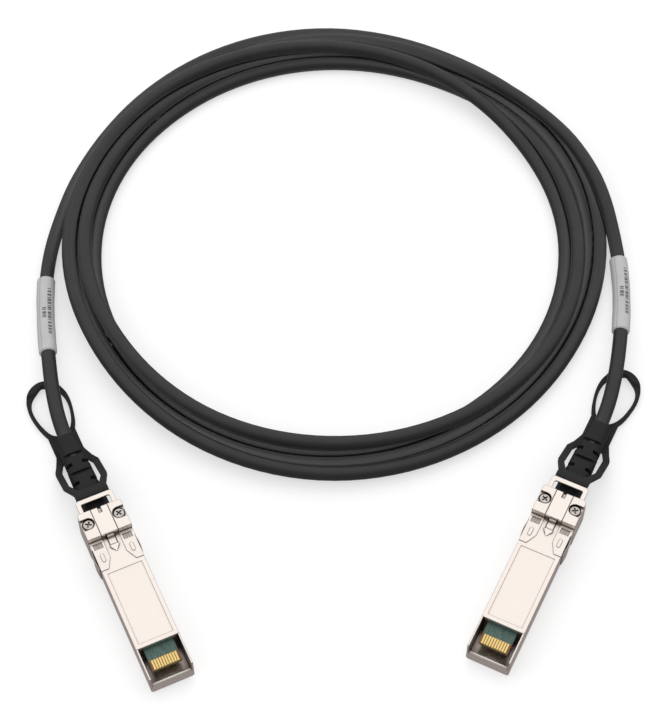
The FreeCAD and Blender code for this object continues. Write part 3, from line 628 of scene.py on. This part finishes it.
jacket = {
    "color": (0.0125, 0.0125, 0.013, 1),
    "pale": (0.020, 0.020, 0.021, 1),
    "between": (0.10, 0.10, 0.103, 1),      # between two turns, which light each other
    "rim": (0.15, 0.15, 0.155, 1),          # painted highlight where the surface turns away
    "dark": (0.012, 0.012, 0.012, 1),       # painted shade in a slot, or right where two turns touch
    "rimHighlightWidth": (0.72, 1.0),
    "roughness": (0.40, 0.54),
    "bump": 0.12,
    "size": 130.0,
    "near": 0.005,
    "tight": 0.0009,
}


def jacketMaterial():
    material = bpy.data.materials.new("jacket")
    tree, surface = nodeTree(material)
    where = place(tree, "ShaderNodeTexCoord")
    marks = useGroup(tree, scuffs, Vector=where.outputs["Object"], Size=jacket["size"])
    around = useGroup(tree, crevices, Near=jacket["near"])
    tight = useGroup(tree, crevices, Near=jacket["tight"])
    tone = mixed(tree, marks.outputs["Mask"], jacket["color"], jacket["pale"])
    # painted bounce light where turns shut each other in
    tone = mixed(tree, around.outputs["Gap"], tone, jacket["between"])
    # painted rim highlight where the surface turns away from the camera
    turned = place(tree, "ShaderNodeLayerWeight", None, Blend=0.5)
    rim = place(tree, "ShaderNodeMapRange", None, Value=turned.outputs["Facing"], i1=jacket["rimHighlightWidth"][0],
                i2=jacket["rimHighlightWidth"][1])
    tone = mixed(tree, rim.outputs[0], tone, jacket["rim"])
    # painted shade where two turns touch
    tone = mixed(tree, tight.outputs["Gap"], tone, jacket["dark"])
    tree.links.new(tone, surface.inputs["Base Color"])
    roughen(tree, surface, marks, jacket["roughness"])
    bump = bumped(tree, marks.outputs["Fine"], jacket["bump"], "plastic")
    tree.links.new(bump, surface.inputs["Normal"])
    return material


film = {
    "color": (0.50, 0.50, 0.51, 1),
    "pale": (0.58, 0.58, 0.59, 1),
    "seam": (0.30, 0.30, 0.31, 1),
    "ink": (0.10, 0.10, 0.105, 1),
    "seamPlace": 0.35,                   # share of the way round
    "seamHalf": 0.006,
    "rows": [                            # place round, first and last share of the length
        {"place": 0.165, "from": 0.20, "to": 0.83},
        {"place": 0.26, "from": 0.42, "to": 0.56},
    ],
    "barHalf": 0.035,                    # half of a bar's height, as a share of the way round
    "barRate": 44.0,
    "barFrom": 0.48,                     # where the noise is ink
    "roughness": (0.38, 0.52),
    "bump": 0.15,
    "size": 160.0,
}


def makePrint():
    # one row of short bars along a sleeve, from its own (round, along) coordinates: a band of the round
    # coordinate times a stretch of the other, kept where a noise that runs along the row is high
    group, given, out = newGroup(
        "print", [("Vector", "NodeSocketVector", None), ("Row", "NodeSocketFloat", 0.13),
                  ("First", "NodeSocketFloat", 0.2), ("Last", "NodeSocketFloat", 0.8)],
        [("Mask", "NodeSocketFloat")])
    at = place(group, "ShaderNodeSeparateXYZ", None, Vector=given.outputs["Vector"])
    inRow = calculated(group, "COMPARE", at.outputs["X"], given.outputs["Row"], film["barHalf"])
    stretch = calculated(group, "MULTIPLY", at.outputs["Y"], film["barRate"])
    along = place(group, "ShaderNodeTexNoise", {"noise_dimensions": "1D"}, W=stretch, Scale=1.0, Detail=1.0)
    bar = calculated(group, "GREATER_THAN", along.outputs["Fac"], film["barFrom"])
    after = calculated(group, "GREATER_THAN", at.outputs["Y"], given.outputs["First"])
    before = calculated(group, "LESS_THAN", at.outputs["Y"], given.outputs["Last"])
    inside = calculated(group, "MULTIPLY", after, before)
    inkHere = calculated(group, "MULTIPLY", inRow, bar)
    group.links.new(calculated(group, "MULTIPLY", inkHere, inside), out.inputs["Mask"])
    return group


printed = makePrint()


def filmMaterial(side):
    # wrapped film: cloudy grey, a dark seam along the wrapped edge, and two rows of plain bars
    material = bpy.data.materials.new("film_" + side)
    tree, surface = nodeTree(material)
    wrap = place(tree, "ShaderNodeUVMap", {"uv_map": "wrap"}).outputs[0]
    where = place(tree, "ShaderNodeTexCoord")
    marks = useGroup(tree, scuffs, Vector=where.outputs["Object"], Size=film["size"])
    at = place(tree, "ShaderNodeSeparateXYZ", None, Vector=wrap)
    seam = calculated(tree, "COMPARE", at.outputs["X"], film["seamPlace"], film["seamHalf"])
    tone = mixed(tree, marks.outputs["Mask"], film["color"], film["pale"])
    tone = mixed(tree, seam, tone, film["seam"])
    for row in film["rows"]:
        bars = useGroup(tree, printed, Vector=wrap, Row=row["place"], First=row["from"], Last=row["to"])
        tone = mixed(tree, bars.outputs["Mask"], tone, film["ink"])
    tree.links.new(tone, surface.inputs["Base Color"])
    roughen(tree, surface, marks, film["roughness"])
    bump = bumped(tree, marks.outputs["Fine"], film["bump"], "film")
    tree.links.new(bump, surface.inputs["Normal"])
    return material


card = {
    "front": -41.8,                      # millimetres from the latch shoulder
    "padsEnd": -38.35,
    "board": (0.046, 0.102, 0.084, 1),
    "pale": (0.105, 0.175, 0.145, 1),
    "laminate": (0.20, 0.085, 0.035, 1),
    "laminateFade": 0.1,
    "edge": (0.16, 0.11, 0.035, 1),
    "edgeWidth": (0.26, 0.32),           # how far back its colour is full, and where it is gone
    "stretch": (1, 0.18, 1),
    "tracks": 1.6,
    "trackEdges": (0.30, 0.42),
    "vias": 0.55,
    "viaRadius": 0.16,
    "viaHalf": 0.05,                     # half of the ring's width
    "paleShare": 0.55,
    "roughness": (0.30, 0.45),
    "bump": 0.3,
    "size": 0.6,
}


def cardMaterial(side):
    # green laminate: lengthwise tracks, a ring at each via, and bare reddish board between the pads
    material = bpy.data.materials.new("card_" + side)
    tree, surface = nodeTree(material)
    local = plugCoordinates(tree, side)
    at = place(tree, "ShaderNodeSeparateXYZ", None, Vector=local)
    squeezed = place(tree, "ShaderNodeMapping", None, Vector=local, Scale=card["stretch"])
    tracks = place(tree, "ShaderNodeTexVoronoi", {"distance": "CHEBYCHEV"}, Vector=squeezed.outputs[0],
                   Scale=card["tracks"])
    track = place(tree, "ShaderNodeMapRange", None, Value=tracks.outputs["Distance"],
                  i1=card["trackEdges"][0], i2=card["trackEdges"][1])
    vias = place(tree, "ShaderNodeTexVoronoi", None, Vector=local, Scale=card["vias"], Randomness=0.8)
    ring = calculated(tree, "COMPARE", vias.outputs["Distance"], card["viaRadius"], card["viaHalf"])
    both = calculated(tree, "MAXIMUM", track.outputs[0], ring)
    part = calculated(tree, "MULTIPLY", both, card["paleShare"])
    tone = mixed(tree, part, card["board"], card["pale"])
    bare = place(tree, "ShaderNodeMapRange", None, Value=at.outputs["Y"],
                 i1=card["padsEnd"] + card["laminateFade"], i2=card["padsEnd"])
    tone = mixed(tree, bare.outputs[0], tone, card["laminate"])
    front = place(tree, "ShaderNodeMapRange", None, Value=at.outputs["Y"],
                  i1=card["front"] + card["edgeWidth"][1], i2=card["front"] + card["edgeWidth"][0])
    tone = mixed(tree, front.outputs[0], tone, card["edge"])
    tree.links.new(tone, surface.inputs["Base Color"])
    marks = useGroup(tree, scuffs, Vector=local, Size=card["size"])
    roughen(tree, surface, marks, card["roughness"])
    bump = bumped(tree, both, card["bump"], "fine")
    tree.links.new(bump, surface.inputs["Normal"])
    return material


smallBump = 0.1
smallMetals = {
    "gold": {"color": (0.93, 0.70, 0.27, 1), "worn": (0.80, 0.55, 0.18, 1),
             "roughness": (0.22, 0.36), "size": 1.2},
    "foil": {"color": (0.85, 0.85, 0.86, 1), "worn": (0.60, 0.60, 0.62, 1),
             "roughness": (0.25, 0.45), "size": 1.6},
    "wire": {"color": (0.90, 0.88, 0.84, 1), "worn": (0.70, 0.67, 0.62, 1),
             "roughness": (0.15, 0.30), "size": 2.0},
    "brass": {"color": (0.80, 0.66, 0.40, 1), "worn": (0.58, 0.45, 0.25, 1),
              "roughness": (0.22, 0.40), "size": 0.8},
}


def smallMetalMaterial(finish, side):
    values = smallMetals[finish]
    material = bpy.data.materials.new(finish + "_" + side)
    tree, surface = nodeTree(material)
    surface.inputs["Metallic"].default_value = 1.0
    marks = useGroup(tree, scuffs, Vector=plugCoordinates(tree, side), Size=values["size"])
    tone = mixed(tree, marks.outputs["Mask"], values["color"], values["worn"])
    tree.links.new(tone, surface.inputs["Base Color"])
    roughen(tree, surface, marks, values["roughness"])
    bump = bumped(tree, marks.outputs["Fine"], smallBump, "fine")
    tree.links.new(bump, surface.inputs["Normal"])
    return material


def dress(piece, material):
    piece.data.materials.clear()
    piece.data.materials.append(material)


dress(cablePiece, jacketMaterial())
for side, piece in sleevePieces.items():
    dress(piece, filmMaterial(side))

for side in plugs:
    cast, slider = metalMaterial("cast", side), metalMaterial("slider", side)
    sheet, screw = metalMaterial("sheet", side), metalMaterial("screw", side)
    tab, boot = blackMaterial("tab", side), blackMaterial("boot", side)
    component = blackMaterial("component", side)
    finishes = {
        "base_shell": cast, "cover_shell": cast, "latch_slider": slider, "emi_collar": sheet,
        "cover_screws": screw, "pull_tab": tab, "strain_boot": boot, "card_components": component,
        "paddle_card": cardMaterial(side),
        "contact_pads": smallMetalMaterial("gold", side),
        "signal_pairs": smallMetalMaterial("foil", side),
        "conductors": smallMetalMaterial("wire", side),
        "crimp_ferrule": smallMetalMaterial("brass", side),
    }
    for name, material in finishes.items():
        dress(cad[name + "_" + side], material)
    dress(springPieces[side], sheet)
print("materials done")


# ---- floor, light and background ----
studio = {
    "floorHalf": 3.0,                    # metres
    "floorColor": (0.54, 0.54, 0.54, 1),
    "floorGlow": 0.54,                   # keeps the shadows pale
    "floorInMetal": (0.30, 0.275, 0.28, 1),
    "sky": 0.80,
    "skyInMetal": (0.30, 1.0),           # near the horizon and overhead
    "skyEdges": (0.05, 0.7),             # heights between which it changes
    "backdrop": 0.8,                     # how far the bright part comes down behind the object
    # place, aim and size in metres, power in watts; neither of them shows in metal
    "softboxes": [
        {"place": (0.0, 0.75, 1.05), "aim": (0, 0.05, 0), "size": 1.0, "power": 2.9},
        {"place": (-0.9, -0.4, 0.9), "aim": (0, 0.05, 0), "size": 0.6, "power": 1.2},
    ],
}


def addFloor():
    data = bpy.data.meshes.new("floor")
    e = studio["floorHalf"]
    data.from_pydata([(-e, -e, 0), (e, -e, 0), (e, e, 0), (-e, e, 0)], [], [(0, 1, 2, 3)])
    floor = bpy.data.objects.new("floor", data)
    scene.collection.objects.link(floor)
    material = bpy.data.materials.new("floor")
    tree, surface = nodeTree(material)
    surface.inputs["Base Color"].default_value = studio["floorColor"]
    surface.inputs["Roughness"].default_value = 0.9
    surface.inputs["Specular IOR Level"].default_value = 0.0
    surface.inputs["Emission Color"].default_value = (1, 1, 1, 1)
    rays = place(tree, "ShaderNodeLightPath")
    glow = calculated(tree, "MULTIPLY", rays.outputs["Is Camera Ray"], studio["floorGlow"])
    tree.links.new(glow, surface.inputs["Emission Strength"])
    # the nickel's sides face the floor, and look grey because a real studio is dark low down
    dark = place(tree, "ShaderNodeEmission", None, Color=studio["floorInMetal"], Strength=1.0)
    either = place(tree, "ShaderNodeMixShader", None, Fac=rays.outputs["Is Glossy Ray"],
                   i1=surface.outputs[0], i2=dark.outputs[0])
    tree.links.new(either.outputs[0], tree.nodes["Material Output"].inputs["Surface"])
    dress(floor, material)


def addLights():
    for k, box in enumerate(studio["softboxes"]):
        data = bpy.data.lights.new("softbox", "AREA")
        data.size = box["size"]
        data.energy = box["power"]
        lamp = bpy.data.objects.new("softbox" + str(k), data)
        lamp.location = box["place"]
        lamp.visible_glossy = False
        toward = np.subtract(box["aim"], box["place"])
        lamp.rotation_euler = (math.acos(-toward[2] / np.linalg.norm(toward)), 0,
                               math.atan2(toward[1], toward[0]) - math.pi / 2)
        scene.collection.objects.link(lamp)


def addSky():
    world = bpy.data.worlds.new("sky")
    scene.world = world
    world.use_nodes = True
    tree = world.node_tree
    background = tree.nodes["Background"]
    background.inputs["Color"].default_value = (1, 1, 1, 1)
    rays = place(tree, "ShaderNodeLightPath")
    where = place(tree, "ShaderNodeTexCoord")
    toward = place(tree, "ShaderNodeSeparateXYZ", None, Vector=where.outputs["Generated"])
    behind = calculated(tree, "MULTIPLY_ADD", toward.outputs["Y"], studio["backdrop"], toward.outputs["Z"])
    inMetal = place(tree, "ShaderNodeMapRange", None, Value=behind,
                    i1=studio["skyEdges"][0], i2=studio["skyEdges"][1],
                    i3=studio["skyInMetal"][0], i4=studio["skyInMetal"][1])
    number = {"data_type": "FLOAT"}
    level = place(tree, "ShaderNodeMix", number, Factor=rays.outputs["Is Glossy Ray"],
                  i2=studio["sky"], i3=inMetal.outputs[0])
    seen = calculated(tree, "MAXIMUM", rays.outputs["Is Camera Ray"], rays.outputs["Is Transmission Ray"])
    shown = place(tree, "ShaderNodeMix", number, Factor=seen, i2=level.outputs[0], i3=1.0)
    tree.links.new(shown.outputs[0], background.inputs["Strength"])


addFloor()
addLights()
addSky()
scene.view_settings.view_transform = "Standard"
print("studio done")
